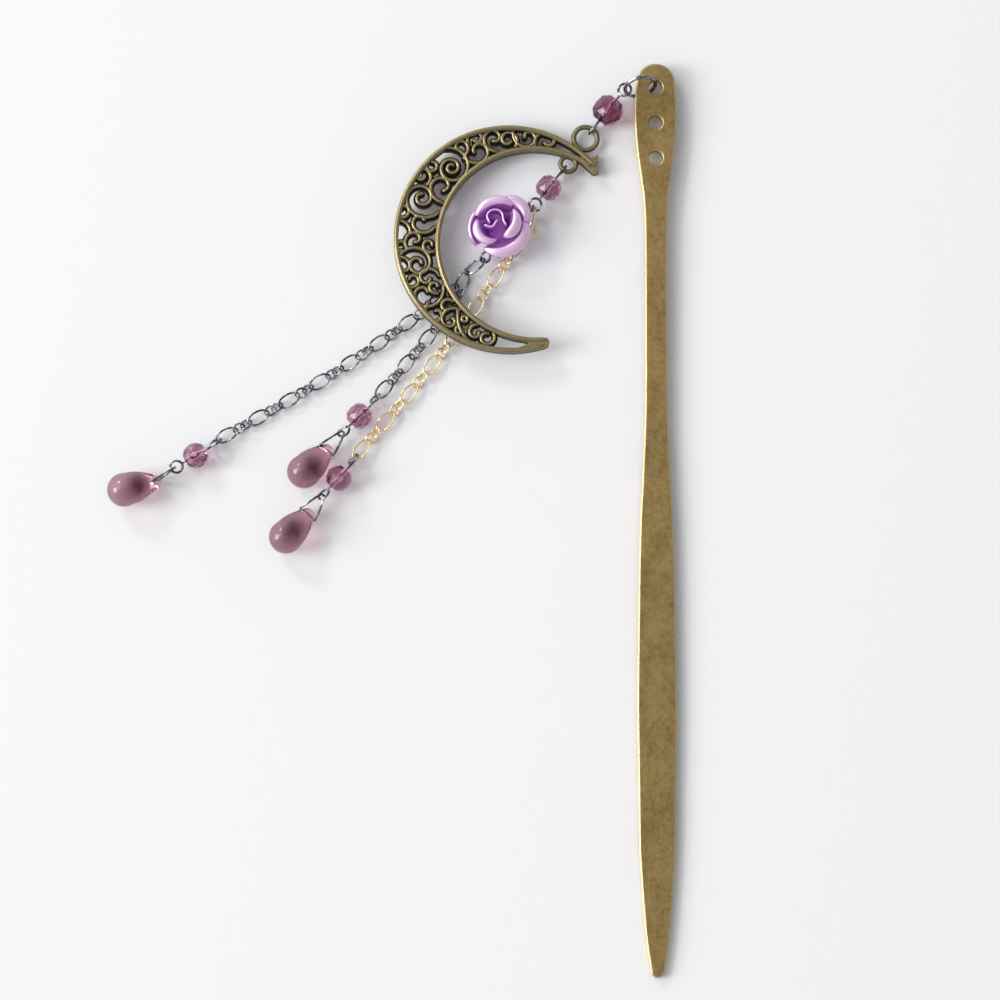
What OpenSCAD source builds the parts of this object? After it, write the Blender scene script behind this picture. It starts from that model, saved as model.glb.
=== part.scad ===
// Hair stick with a pierced crescent, a metal rose, glass beads and three chains that end in drops.
// It lies on its back on a table: X to the right, Y towards the stick's head, Z up from the table.

/* [Hair stick] */
// Length of the stick from head to tip
stick_len = 142.24; // [120:0.1:170]
// Thickness of the flat stick
stick_t = 1.2; // [1:0.1:2]
// Width of the rounded edge step
stick_edge = 0.15; // [0.1:0.01:0.2]
// Diameter of the three holes in the head
hole_d = 2.2; // [2:0.05:2.4]
// Distance between the holes
hole_pitch = 5.6; // [4:0.1:6]
// Height of the head's underside above the table at the first hole
head_lift = 1.25; // [1.2:0.05:2]

/* [Crescent] */
// Radius of the outer edge
moon_r = 18.1; // [16:0.1:20]
// Radius of the inner edge
moon_inner_r = 14.9; // [13:0.1:15]
// Width of the raised rims
rim_w = 0.72; // [0.6:0.01:0.9]
// Thickness of the pierced ground between the scrolls
ground_t = 1.0; // [0.8:0.1:1.2]
// Height of the scroll tops
scroll_t = 1.5; // [1.3:0.1:1.6]
// Height of the rims
moon_t = 1.8; // [1.7:0.1:2.2]
// Width of a scroll's raised line
scroll_w = 0.46; // [0.4:0.01:0.55]
// Width of the ground under a scroll
scroll_ground_w = 0.98; // [0.7:0.01:1.1]
// Slope of the crescent, which lies over the chains
moon_slope = 3.4; // [3:0.1:4]

/* [Rose] */
// Thickness of a petal
petal_t = 0.36; // [0.34:0.01:0.45]

/* [Glass] */
// Radius of the bead under the stick's head
top_bead_r = 2.48; // [2.4:0.01:2.5]
// Radius of the four small beads
bead_r = 2.05; // [1.9:0.05:2.1]
// Radius of a drop
drop_r = 2.65; // [2.5:0.05:2.9]
// Distance from a drop's round centre to its hole
drop_neck = 4.75; // [4.6:0.05:4.9]

/* [Chains] */
// Half length of a long link at the middle of its wire
link_a = 1.83; // [1.8:0.01:1.86]
// Half width of a long link
link_b = 0.95; // [0.9:0.01:1]
// Wire radius of a long link
link_wire = 0.18; // [0.16:0.01:0.19]
// Radius of a small ring
ring_r = 0.88; // [0.86:0.01:0.92]
// Wire radius of a small ring
ring_wire = 0.165; // [0.15:0.005:0.17]
// Wire radius of the bead pins and drop bails
pin_wire = 0.2; // [0.18:0.01:0.22]

/* [Hidden] */

brass = "#8f7a45";
bronze = "#7d7142";
gunmetal = "#3c3d42";
gold = "#e0b050";
lilac = "#b67fcb";
amethyst = "#8a4f74";

// Stick: middle of the head end, sideways lean, and its outline
stick_x = 41.1;
stick_lean = 0.12;
head_y = 70.81;
tip_y = head_y - stick_len;
first_hole = 3.81;
stick_pitch = asin(head_lift / (stick_len - first_hole));
hole_chamfer = 0.14;
tip_r = 1.02;
// columns: distance from the head end, width
stick_outline = [[3, 6], [5, 6.35], [7.8, 6.65], [13, 6.05], [17.8, 4.85], [21.6, 3.85], [26.6, 3.45],
                 [44.6, 3.4], [56.6, 3.6], [65.6, 4.4], [74.6, 5.25], [90.6, 5.85], [101.6, 6.05],
                 [114.6, 5.75], [122.2, 5.55], [128.5, 4.85], [134.8, 3.85], [137.9, 3.1],
                 [141.22, 2.05]];

// Ring through the first hole: its middle, its slope round the line to the bead, and its turn
jump_r = 2.42;
jump_wire = 0.33;
jump_at = [38.85, 67.11, 2.58];
jump_turn = 192;
jump_roll = 67;

// Crescent: its middle on the table, the offset of the inner edge, and where the band is cut
moon_at = [18.3, 42.75];
inner_at = [4, -0.82];
moon_foot = 0.35;
top_tip = 40;
low_tip = 288;
top_solid = 46;
low_solid = 270;
tip_at = [32.7, 54];
slope_way = [-0.69, -0.72];
loop_z = 0.9;
// columns: x, y, radius of the ring, radius of its wire
moon_loops = [[11.94, 16.3, 1.86, 0.4], [9.23, 12.15, 1.23, 0.37]];
spur = [[12.3, 12.6], [12.8, 13.15], [13.9, 13.6], [13.95, 12.7], [13.4, 11.8]];
low_gap = [[-1, -15.1], [-1, -18.2], [2.99, -16.63]];
// Scrolls. columns: eye x, eye y, outer radius, inner radius, start angle, turn (plus is anticlockwise)
EYE = 0;
OUTER = 2;
INNER = 3;
START = 4;
TURN = 5;
scrolls = [
    [-9.1, 11.3, 3.4, 0.5, 110, -765],
    [-12.1, 11.6, 1.05, 0.6, 165, 290],
    [-13.8, 10, 1.7, 0.45, -56, 424],
    [-10.5, 8.3, 2.6, 0.7, 270, -347],
    [-7.8, 14.7, 1.6, 0.55, -60, 275],
    [-5.2, 16.1, 1.55, 0.5, 207, -332],
    [-4.9, 14.1, 2.5, 0.75, 208, 350],
    [-2.4, 16.2, 2.3, 0.55, 281, -390],
    [-0.3, 15.9, 1.65, 0.6, -39, 367],
    [2.9, 16.4, 2.7, 0.52, 143, 400],
    [6, 15.8, 2.2, 0.6, 202, -345],
    [-13.7, 6.45, 3.65, 0.65, -39, -590],
    [-16.6, 4.5, 1.4, 0.45, 241, 275],
    [-13.9, 2.7, 2.45, 0.6, -23, -309],
    [-17.4, 0.9, 1.9, 1.9, 100, -105],
    [-14.7, -0.2, 2, 0.42, 229, -320],
    [-17.2, -1.6, 1.2, 0.35, 50, 250],
    [-12.6, -1.1, 1.25, 0.55, -55, -300],
    [-14.4, -4.1, 3.15, 0.7, 162, -509],
    [-16.6, -4.6, 1.6, 0.45, 108, -280],
    [-15.1, -6.7, 1.35, 0.6, 212, 310],
    [-12.9, -6.4, 2.05, 0.5, 15, 340],
    [-13.4, -8.8, 3.35, 0.72, 23, -352],
    [-11.7, -7.7, 1.1, 0.5, -69, -275],
    [-11.4, -12, 2.2, 0.5, 125, 335],
    [-9.8, -10.8, 1.25, 0.57, 45, 240],
    [-9.2, -13.1, 2.3, 0.5, 52, 360],
    [-2.6, -13.1, 5.7, 5, 163, 55],
    [-7, -12.8, 0.5, 0.4, 90, 330],
    [-7.9, -14.6, 0.6, 0.5, 110, 230],
    [-5.3, -15, 1.42, 0.47, 78, 292],
    [-3.6, -15.75, 1.33, 0.72, 36, -320]];

// Rose and the pins: middles on the table and heights of their wires
rose_at = [16.85, 44.35];
rose_base_z = 1.25;
rose_hole_r = 0.32;
// Petals. columns: middle x, middle y, rim radius, start angle, sweep, rim height, foot radius, lip width
petals = [
    [0.02, 0.03, 4.58, 64, 92, 4.75, 2.35, 1],
    [0.1, 0.06, 4.63, -6, 82, 4.35, 2.5, 1.1],
    [-0.04, -0.06, 4.68, 240, 118, 4.05, 2.62, 1.15],
    [-0.06, 0.05, 4.62, 140, 74, 3.6, 2.74, 0.5],
    [0.12, -0.05, 3.62, 170, 100, 4.45, 1.8, 0.9],
    [0.6, 0.75, 2.8, -90, 142, 5, 1.5, 0.75],
    [-0.35, 0.6, 2.65, 70, 175, 4.85, 1.45, 0.6]];
petal_foot = 1.35;
// Profile of a petal. columns: share of the way from foot to lip, share of the height
petal_rise = [[0, 0], [0.75, 0.45], [1, 0.88]];
// Lip of a petal. columns: share of the lip width, drop below the rim height
petal_lip = [[0.3, 0.1], [0.7, 0], [1, 0.26]];
// Wavy heart strip. columns: x, y
heart = [[-2.3, 0.1], [-1.5, -0.15], [-0.95, 0.1], [-0.75, 0.7], [-1.35, 1.15], [-1.75, 1.8], [-1.3, 2.5],
         [-0.5, 2.6], [-0.1, 2.05], [0.35, 2.45], [0.7, 2], [0.35, 1.3], [0.6, 0.6]];
heart_top = 5;

// Beads: how far along the pin their middles lie
top_bead_at = 0.462;
moon_bead_at = 0.603;
bead_hole_r = 0.32;
// Pin eyes. columns: x, y, z, turn, roll, dip, radius
top_eye_high = [36.41, 66.51, 2.9, 229.4, 16, 0, 1.01];
top_eye_low = [31.42, 60.5, 1.13, 229.4, 90, 0, 0.85];
moon_eye_high = [26.7, 53.95, 1.42, 231, 90, 0, 0.85];
moon_eye_low = [22.35, 48.4, 1.88, 231, -23, 0, 1];
rose_eye_high = [21.47, 47.55, 2.1, 231, 64, 0, 0.85];
rose_eye_low = [14.6, 40.12, 1.64, 228, -47, 0, 0.9];
// The two links that carry the dark chains. columns: x, y, z, turn, roll, dip
rose_link_at = [12.88, 38.76, 1.2, 212, 43, 16];
yoke_link_at = [10.96, 36.36, 0.87, 244, -34, 4];
rose_link_size = [1.95, 1.15, 0.22];
yoke_link_size = [1.9, 1, 0.2];

// Chains: where the first and last long links lie, how many lengths between them, and the bow sideways
chain_z = 0.82;
chain_roll = 45;
ring_share = 0.387;
link_twist = -0.15;
last_dip = -3;
long_from = [6.96, 33.24];
long_to = [-25.65, 12.23];
long_count = 7;
long_bow = 0.8;
long_hook = [9.76, 35.52, 0.91];
// columns: height, roll, one row for each long link
long_pose = [[0.82, 0], [0.82, 0], [0.83, 0], [0.86, -5], [0.9, -7], [0.93, 1], [0.92, -10], [0.96, 4]];
short_from = [8.77, 31.55];
short_to = [-1.2, 19.45];
short_count = 3;
short_bow = 0.1;
short_hook = [10.84, 35.09, 0.91];
short_pose = [[0.82, 0], [0.82, 0], [0.86, 0], [0.96, 4]];
gold_from = [22.4, 46.66];
gold_to = [-4.65, 9.99];
gold_count = 8;
gold_bow = 1;
gold_first = [22.07, 46.33];
gold_first_turn = 255;
gold_second = [19.43, 41.74];
gold_pose = [[1.39, 86], [1.15, 0], [0.96, 6], [0.88, 2], [0.83, 0], [0.82, 0], [0.82, 0],
             [0.86, 0], [0.96, 4]];
gold_a = 1.87;
lead_near = 2.13;
lead_far = 3.4;

// Chain ends, along the line of the last link. columns: last link, turn of the line, extra turn of
// the drop, then x, z and roll of the lower eye, and x, z and roll of the bail
tails = [[long_to, 213.6, -17, 9.23, 2.12, 0, 9.42, 2.31, 89],
         [short_to, 227.7, -3, 9.23, 2.16, 43, 9.31, 2.32, -38],
         [gold_to, 231.1, -4, 9.24, 2.14, 54, 9.36, 2.31, -24]];
tail_tilt = 8;
tail_eye_r = 0.95;
tail_high = [2.06, 1.29, 64];
tail_bead_at = 0.61;
bail_len = 4.05;
bail_half = 1.6;
bail_bend = 0.3;
bail_head = 0.5;
neck_z = 1.89;
neck_end_r = 1.16;
drop_hole_r = 0.45;
drop_drop = 10.4;

// Points along the spiral of one scroll, from its outer end to its eye
function scroll_points(s) =
    let (count = max(6, ceil(abs(s[TURN]) / 20)))
    [for (i = [0:count])
        let (f = i / count, r = s[OUTER] * pow(s[INNER] / s[OUTER], f), a = s[START] + s[TURN] * f)
        [s[EYE] + r * cos(a), s[EYE + 1] + r * sin(a)]];

// Direction of a point list at one point
function way(points, i) =
    let (d = points[min(i + 1, len(points) - 1)] - points[max(i - 1, 0)]) d / norm(d);

// Smooth value between the rows of a two-column table
function slope_at(rows, i) =
    let (j = min(i + 1, len(rows) - 1))
    i == 0 ? 0 : (rows[j][1] - rows[i - 1][1]) / (rows[j][0] - rows[i - 1][0]);
function smooth(rows, i, f) =
    let (h = rows[i + 1][0] - rows[i][0], m0 = slope_at(rows, i) * h, m1 = slope_at(rows, i + 1) * h)
    (2 * pow(f, 3) - 3 * pow(f, 2) + 1) * rows[i][1] + (pow(f, 3) - 2 * pow(f, 2) + f) * m0
    + (3 * pow(f, 2) - 2 * pow(f, 3)) * rows[i + 1][1] + (pow(f, 3) - pow(f, 2)) * m1;

// One edge of the stick, from head to tip, as half widths
stick_steps = 3;
last_row = stick_outline[len(stick_outline) - 1];
stick_edge_points = concat(
    [for (i = [0:len(stick_outline) - 2], k = [0:stick_steps - 1])
        let (f = k / stick_steps)
        [smooth(stick_outline, i, f) / 2,
         head_y - stick_outline[i][0] - (stick_outline[i + 1][0] - stick_outline[i][0]) * f]],
    [[last_row[1] / 2, head_y - last_row[0]]]);

// Points on a line between two places that bows sideways
function bowed(from, to, count, bow) =
    let (d = to - from, side = [-d[1], d[0]] / norm(d))
    [for (i = [0:count]) from + d * i / count + side * bow * sin(180 * i / count)];
function raised(points, pose) = [for (i = [0:len(points) - 1]) [points[i][0], points[i][1], pose[i][0]]];

long_links = raised(bowed(long_from, long_to, long_count, long_bow), long_pose);
short_links = raised(bowed(short_from, short_to, short_count, short_bow), short_pose);
gold_line = bowed(gold_from, gold_to, gold_count, gold_bow);
gold_links = raised(concat([gold_first, gold_second], [for (i = [2:gold_count]) gold_line[i]]), gold_pose);

function turn_of(d) = atan2(d[1], d[0]);
function dip_of(d) = -atan2(d[2], norm([d[0], d[1]]));

// A round wire along points. up is any direction that the wire never takes
module wire(path, r, up = [0, 0, 1], closed = true, sides = 6) {
    n = len(path);
    rings = [for (i = [0:n - 1])
        let (before = closed ? path[(i + n - 1) % n] : path[max(i - 1, 0)],
             after = closed ? path[(i + 1) % n] : path[min(i + 1, n - 1)],
             t = (after - before) / norm(after - before),
             side = cross(up, t) / norm(cross(up, t)),
             top = cross(t, side))
        [for (j = [0:sides - 1]) path[i] + r * (cos(360 * j / sides) * side + sin(360 * j / sides) * top)]];
    spans = closed ? n : n - 1;
    walls = [for (i = [0:spans - 1], j = [0:sides - 1])
        [i * sides + j, ((i + 1) % n) * sides + j, ((i + 1) % n) * sides + (j + 1) % sides,
         i * sides + (j + 1) % sides]];
    caps = closed ? [] : [[for (j = [0:sides - 1]) j],
                          [for (j = [0:sides - 1]) n * sides - 1 - j]];
    polyhedron([for (ring = rings, p = ring) p], concat(walls, caps), convexity = 6);
}

// Turns a piece that lies along X: roll round its length, dip its front, turn it, then set it down
module place(at, turn, roll = 0, dip = 0) {
    translate(at) rotate([0, 0, turn]) rotate([0, dip, 0]) rotate([roll, 0, 0]) children();
}

module ring(r, wire_r) {
    rotate_extrude($fn = 48) translate([r, 0]) circle(wire_r, $fn = 24);
}

module long_link(a = link_a, b = link_b, wire_r = link_wire, twist = link_twist) {
    count = 16;
    wire([for (i = [0:count - 1])
        let (t = 360 * i / count) [a * cos(t), b * sin(t), twist * sin(2 * t)]], wire_r);
}

module eye(e, wire_r = pin_wire) {
    place([e[0], e[1], e[2]], e[3], e[4], e[5]) ring(e[6], wire_r);
}

// Straight wire between two points
module rod(from, to, r = pin_wire * 0.93) {
    d = to - from;
    translate(from) rotate([0, acos(d[2] / norm(d)), turn_of(d)]) cylinder(h = norm(d), r = r, $fn = 24);
}

module plate_outline(inset) {
    edge = stick_edge_points;
    offset(delta = -inset) union() {
        polygon(concat(edge, [for (i = [len(edge) - 1:-1:0]) [-edge[i][0], edge[i][1]]]));
        translate([0, head_y - stick_outline[0][0]]) circle(stick_outline[0][1] / 2, $fn = 48);
        translate([0, tip_y + tip_r]) circle(tip_r, $fn = 24);
    }
}

module stick_frame() {
    translate([stick_x, 0, 0]) rotate([0, 0, -stick_lean])
        translate([0, tip_y, 0]) rotate([stick_pitch, 0, 0]) translate([0, -tip_y, 0]) children();
}

module hair_stick() {
    color(brass) stick_frame() difference() {
        union() {
            linear_extrude(stick_t) plate_outline(stick_edge);
            translate([0, 0, stick_edge / 2]) linear_extrude(stick_t - stick_edge) plate_outline(stick_edge / 2);
            translate([0, 0, stick_edge]) linear_extrude(stick_t - 2 * stick_edge) plate_outline(0);
        }
        for (i = [0:2]) translate([0, head_y - first_hole - i * hole_pitch, 0]) {
            translate([0, 0, -1]) cylinder(h = stick_t + 2, d = hole_d, $fn = 48);
            translate([0, 0, stick_t - hole_chamfer])
                cylinder(h = 2 * hole_chamfer, d1 = hole_d, d2 = hole_d + 4 * hole_chamfer, $fn = 48);
        }
    }
}

module stick_ring() {
    color(gunmetal) place(jump_at, jump_turn, -jump_roll) ring(jump_r, jump_wire);
}

module glass_bead(r, flat = 0.86, shoulder = 0.52) {
    sides = 8;
    levels = [[-flat, 0], [-shoulder, 1], [0, 0], [shoulder, 1], [flat, 0]];
    rings = [for (level = levels, j = [0:sides - 1])
        let (a = 360 * (j + level[1] / 2) / sides, w = sqrt(1 - pow(level[0], 2)))
        [r * w * cos(a), r * w * sin(a), r * level[0]]];
    walls = [for (k = [0:len(levels) - 2], j = [0:sides - 1])
        let (low = k * sides, high = (k + 1) * sides, next = (j + 1) % sides, ahead = levels[k][1] == 0)
        each (ahead ? [[low + j, high + j, low + next], [low + next, high + j, high + next]]
                    : [[low + j, high + j, high + next], [low + j, high + next, low + next]])];
    rotate([0, 90, 0]) difference() {
        polyhedron(rings, concat(walls, [[for (j = [0:sides - 1]) j],
                   [for (j = [0:sides - 1]) len(levels) * sides - 1 - j]]), convexity = 2);
        translate([0, 0, -r]) cylinder(h = 2 * r, r = bead_hole_r, $fn = 24);
    }
}

// Points on an eye: its top, its back and its front along its own direction
function eye_axis(e) = [cos(e[3]) * cos(e[5]), sin(e[3]) * cos(e[5]), -sin(e[5])];
function eye_top(e) = [e[0], e[1], e[2] + e[6]];
function eye_back(e) = [e[0], e[1], e[2]] - eye_axis(e) * e[6];
function eye_front(e) = [e[0], e[1], e[2]] + eye_axis(e) * e[6];
// The side of a rolled eye
function eye_side(e) = [e[0], e[1], e[2]]
    + e[6] * [sin(e[4]) * sin(e[5]), cos(e[4]), sin(e[4]) * cos(e[5])];

module bead_on(from, to, share, r, roll) {
    color(amethyst) place(from + (to - from) * share, turn_of(to - from), roll, dip_of(to - from)) glass_bead(r);
}

module top_bead_pin() {
    color(gunmetal) union() {
        eye(top_eye_high);
        eye(top_eye_low);
        rod(eye_front(top_eye_high), eye_top(top_eye_low));
    }
}

module top_bead() {
    bead_on(eye_front(top_eye_high), eye_top(top_eye_low), top_bead_at, top_bead_r, 10);
}

module moon_bead_pin() {
    color(gunmetal) union() {
        eye(moon_eye_high);
        eye(moon_eye_low);
        rod(eye_top(moon_eye_high), eye_back(moon_eye_low));
    }
}

module moon_bead() {
    bead_on(eye_top(moon_eye_high), eye_back(moon_eye_low), moon_bead_at, bead_r, 15);
}

// A line of even width with round ends
module stroke(points, w, round_ends = true) {
    n = len(points) - 1;
    polygon([for (k = [0:2 * n + 1])
        let (i = k <= n ? k : 2 * n + 1 - k, d = way(points, i), side = k <= n ? 1 : -1)
        points[i] + side * w / 2 * [-d[1], d[0]]]);
    if (round_ends) for (i = [0, n]) translate(points[i]) circle(w / 2, $fn = 8);
}

module sector(from, to) {
    far = 2 * moon_r;
    polygon(concat([[0, 0]], [for (i = [0:6]) let (a = from + (to - from) * i / 6) [far * cos(a), far * sin(a)]]));
}

module band() {
    difference() {
        circle(moon_r, $fn = 120);
        translate(inner_at) circle(moon_inner_r, $fn = 110);
        sector(low_tip - 360, top_tip);
    }
}

module rims() {
    difference() {
        circle(moon_r, $fn = 120);
        circle(moon_r - rim_w, $fn = 120);
    }
    translate(inner_at) difference() {
        circle(moon_inner_r + rim_w, $fn = 110);
        circle(moon_inner_r, $fn = 110);
    }
}

// The solid horns: the band past each pointed gap, with a rounded end
module horns() {
    intersection() {
        band();
        union() {
            sector(top_tip - 5, top_solid);
            difference() {
                sector(low_solid, low_tip + 5);
                polygon(low_gap);
            }
        }
    }
    // columns: angle at the end, angle further in, half width
    for (end = [[40, 47, 0.68], [288.2, 284, 0.72]]) hull() for (k = [0, 1])
        let (r = moon_r - end[2] - k * 0.12)
        translate([r * cos(end[k]), r * sin(end[k])]) circle(end[2], $fn = 20);
}

module crescent_frame() {
    translate([tip_at[0], tip_at[1], moon_foot])
        rotate(a = moon_slope, v = [slope_way[1], -slope_way[0], 0])
        translate([moon_at[0] - tip_at[0], moon_at[1] - tip_at[1], 0]) children();
}

module crescent_moon() {
    color(bronze) crescent_frame() union() {
        linear_extrude(ground_t) offset(delta = 0.01) union() {
            intersection() {
                band();
                union() {
                    rims();
                    for (s = scrolls) stroke(scroll_points(s), scroll_ground_w);
                }
            }
            horns();
        }
        linear_extrude(scroll_t) offset(delta = 0.005) {
            intersection() {
                band();
                for (s = scrolls) stroke(scroll_points(s), scroll_w);
            }
            polygon(spur);
        }
        linear_extrude(moon_t) union() {
            offset(delta = 0.002) intersection() {
                band();
                rims();
            }
            offset(delta = 0.002) horns();
        }
        for (m = moon_loops) translate([m[0], m[1], loop_z]) ring(m[2], m[3]);
    }
}

// A petal: a thin curved wall that rises and rolls outward at its lip
module petal(p) {
    lip_r = p[2] - p[7];
    path = concat([for (q = petal_rise) [p[6] + (lip_r - p[6]) * q[0], petal_foot + (p[5] - petal_foot) * q[1]]],
                  [for (q = petal_lip) [lip_r + p[7] * q[0], p[5] - q[1]]]);
    translate([p[0], p[1], 0]) rotate([0, 0, p[3]])
        rotate_extrude(angle = p[4], $fn = 64) stroke(path, petal_t, false);
}

module rose() {
    // columns: radius, height
    cup = [[0, 0], [2, 0], [2.35, 0.8], [3, 1.7], [3.4, 2.5], [0, 2.2]];
    color(lilac) difference() {
        translate([rose_at[0], rose_at[1], rose_base_z]) union() {
            rotate_extrude($fn = 64) polygon(cup);
            for (p = petals) petal(p);
            translate([0, 0, 1]) linear_extrude(heart_top - 1) stroke(heart, petal_t);
        }
        rod(rose_wire_start, rose_wire_end, rose_hole_r);
    }
}

rose_wire_start = eye_front(rose_eye_high);
rose_wire_end = eye_back(rose_eye_low);

module rose_pin() {
    color(gunmetal) union() {
        eye(rose_eye_high);
        eye(rose_eye_low);
        rod(rose_wire_start, rose_wire_end);
    }
}

module rose_link() {
    p = rose_link_at;
    size = rose_link_size;
    color(gunmetal) place([p[0], p[1], p[2]], p[3], p[4], p[5]) long_link(size[0], size[1], size[2], 0);
}

module yoke_link() {
    p = yoke_link_at;
    size = yoke_link_size;
    color(gunmetal) place([p[0], p[1], p[2]], p[3], p[4], p[5]) long_link(size[0], size[1], size[2], 0);
}

// Long links at the given places, with two small rings between each pair
module chain(points, pose, a = link_a, first_turn = undef, first_dip = undef, first_roll = undef) {
    last = len(points) - 1;
    for (i = [0:last]) {
        d = points[min(i + 1, last)] - points[max(i - 1, 0)];
        turn = (i == 0 && !is_undef(first_turn)) ? first_turn : turn_of(d);
        dip = i == last ? last_dip : ((i == 0 && !is_undef(first_dip)) ? first_dip : dip_of(d));
        place(points[i], turn, pose[i][1], dip) long_link(a);
    }
    for (i = [0:last - 1]) {
        start = (i == 0 && !is_undef(first_turn))
            ? points[0] + lead_near * [cos(first_turn), sin(first_turn), -sin(first_dip)] : undef;
        d = points[i + 1] - points[i];
        e = is_undef(start) ? d : points[i + 1] - start;
        rolls = [for (f = [0.39, 0.61]) pose[i][1] * (1 - f) + pose[i + 1][1] * f];
        near = is_undef(start) ? points[i] + d * ring_share : start;
        place(near, turn_of(e), is_undef(first_roll) || i > 0 ? chain_roll + rolls[0] : first_roll, dip_of(e))
            ring(ring_r, ring_wire);
        place(is_undef(start) ? points[i + 1] - d * ring_share : points[1] - lead_near * e / norm(e),
              turn_of(e), is_undef(first_roll) || i > 0 ? rolls[1] - chain_roll : -chain_roll, dip_of(e))
            ring(ring_r, ring_wire);
    }
}

// The two rings that hook a dark chain onto the yoke link
module lead(from, hook) {
    d = (hook - from) / norm(hook - from);
    place(from + lead_near * d, turn_of(d), chain_roll, dip_of(d)) ring(ring_r, ring_wire);
    place(from + lead_far * d, turn_of(d), -chain_roll, dip_of(d)) ring(ring_r, ring_wire);
}

module long_dark_chain() {
    color(gunmetal) {
        lead(long_links[0], long_hook);
        chain(long_links, long_pose);
    }
}

module short_dark_chain() {
    color(gunmetal) {
        lead(short_links[0], short_hook);
        chain(short_links, short_pose);
    }
}

module gold_chain() {
    color(gold) chain(gold_links, gold_pose, gold_a, gold_first_turn, 5, 0);
}

// Chain ends, each built along X from its last link
module tail_frame(k) {
    t = tails[k];
    translate([t[0][0], t[0][1], 0]) rotate([0, 0, t[1]]) children();
}

function high_eye(k) = [tail_high[0], 0, tail_high[1], 0, tail_high[2], -tail_tilt, tail_eye_r];
function low_eye(k) = [tails[k][3], 0, tails[k][4], 0, tails[k][5], -tail_tilt, tail_eye_r];

module end_pin(k) {
    color(gunmetal) tail_frame(k) union() {
        eye(high_eye(k));
        eye(low_eye(k));
        rod(eye_side(high_eye(k)), eye_back(low_eye(k)));
    }
}

module end_bead(k) {
    tail_frame(k) bead_on(eye_side(high_eye(k)), eye_back(low_eye(k)), tail_bead_at, bead_r, 15 * k);
}

function arc(at, r, from, to, count) =
    [for (i = [0:count]) let (a = from + (to - from) * i / count) [at[0] + r * cos(a), at[1] + r * sin(a), 0]];

// A bail built along X from its bend to its base through the drop
module bail_frame(k) {
    t = tails[k];
    tail_frame(k) place([t[6], 0, t[7]], 0, t[8], asin((t[7] - neck_z) / bail_len)) children();
}

module drop_bail(k) {
    base = bail_len - bail_bend;
    spread = bail_half - bail_bend;
    legs = concat(arc([bail_head, 0], bail_head, 110, 250, 6), arc([base, -spread], bail_bend, 280, 360, 3),
                  arc([base, spread], bail_bend, 0, 80, 3));
    color(gunmetal) bail_frame(k) wire(legs, pin_wire);
}

// Half outline of a drop: a round end, a full flank and a small round neck
module drop_outline() {
    round_steps = 18;
    leave = acos((drop_r - neck_end_r) / drop_neck);
    full = 0.32;
    high = 0.8;
    flank_steps = 6;
    polygon(concat(
        [for (i = [0:round_steps]) let (a = 180 - (180 - leave) * i / round_steps)
            [drop_r * sin(a), drop_r * cos(a)]],
        [for (i = [1:flank_steps - 1]) let (f = i / flank_steps, r = drop_r + (neck_end_r - drop_r) * f)
            [r * sin(leave) + full * sin(180 * pow(f, high)), r * cos(leave) + drop_neck * f]],
        [for (i = [0:6]) let (a = leave - leave * i / 6)
            [neck_end_r * sin(a), drop_neck + neck_end_r * cos(a)]]));
}

module glass_drop(k) {
    t = tails[k];
    hole_x = t[6] + sqrt(pow(bail_len, 2) - pow(t[7] - neck_z, 2));
    color(amethyst) difference() {
        tail_frame(k) translate([hole_x, 0, neck_z]) rotate([0, 0, t[2]]) rotate([0, 90 - drop_drop, 0])
            translate([0, 0, drop_neck]) rotate([180, 0, 0]) rotate_extrude($fn = 48) drop_outline();
        bail_frame(k) translate([bail_len, 0, 0]) rotate([90, 0, 0])
            cylinder(h = 4, r = drop_hole_r, center = true, $fn = 24);
    }
}

hair_stick();
stick_ring();
top_bead_pin();
top_bead();
crescent_moon();
moon_bead_pin();
moon_bead();
rose_pin();
rose();
rose_link();
yoke_link();
long_dark_chain();
short_dark_chain();
gold_chain();
end_pin(0);  // end_pin_1
end_pin(1);  // end_pin_2
end_pin(2);  // end_pin_3
end_bead(0);  // end_bead_1
end_bead(1);  // end_bead_2
end_bead(2);  // end_bead_3
drop_bail(0);  // drop_bail_1
drop_bail(1);  // drop_bail_2
drop_bail(2);  // drop_bail_3
glass_drop(0);  // glass_drop_1
glass_drop(1);  // glass_drop_2
glass_drop(2);  // glass_drop_3
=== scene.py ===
"""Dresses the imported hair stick: aged brass, dark and gold chains, a lilac metal rose and violet glass.

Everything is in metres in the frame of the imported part, which lies on the table with its head to +Y.
Tables and bare sizes are in millimetres and degrees, except where their comment says metres.
"""

import math

import bmesh
import bpy
from mathutils import Matrix, Vector


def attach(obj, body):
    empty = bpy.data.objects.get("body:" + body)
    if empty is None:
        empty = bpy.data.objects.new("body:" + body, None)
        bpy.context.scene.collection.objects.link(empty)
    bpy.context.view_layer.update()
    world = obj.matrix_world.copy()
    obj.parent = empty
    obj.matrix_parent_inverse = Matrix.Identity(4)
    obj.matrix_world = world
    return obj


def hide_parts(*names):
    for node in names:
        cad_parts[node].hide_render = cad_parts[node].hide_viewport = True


bl_info = {
    "name": "Hair stick with crescent, rose and chains",
    "version": (1, 0, 0),
    "blender": (4, 5, 0),
    "location": "3D View > Sidebar > Hair Stick",
    "description": "Dresses the packed hair stick in metal, enamel and glass",
    "category": "Object",
}

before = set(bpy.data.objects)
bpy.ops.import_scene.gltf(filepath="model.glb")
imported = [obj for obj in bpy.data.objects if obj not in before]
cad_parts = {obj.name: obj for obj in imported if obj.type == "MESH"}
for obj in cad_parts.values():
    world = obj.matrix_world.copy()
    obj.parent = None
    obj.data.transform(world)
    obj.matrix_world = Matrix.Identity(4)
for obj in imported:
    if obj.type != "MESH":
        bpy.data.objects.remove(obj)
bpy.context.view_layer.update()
MM = 0.001
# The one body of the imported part
BODY = "root"
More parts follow.
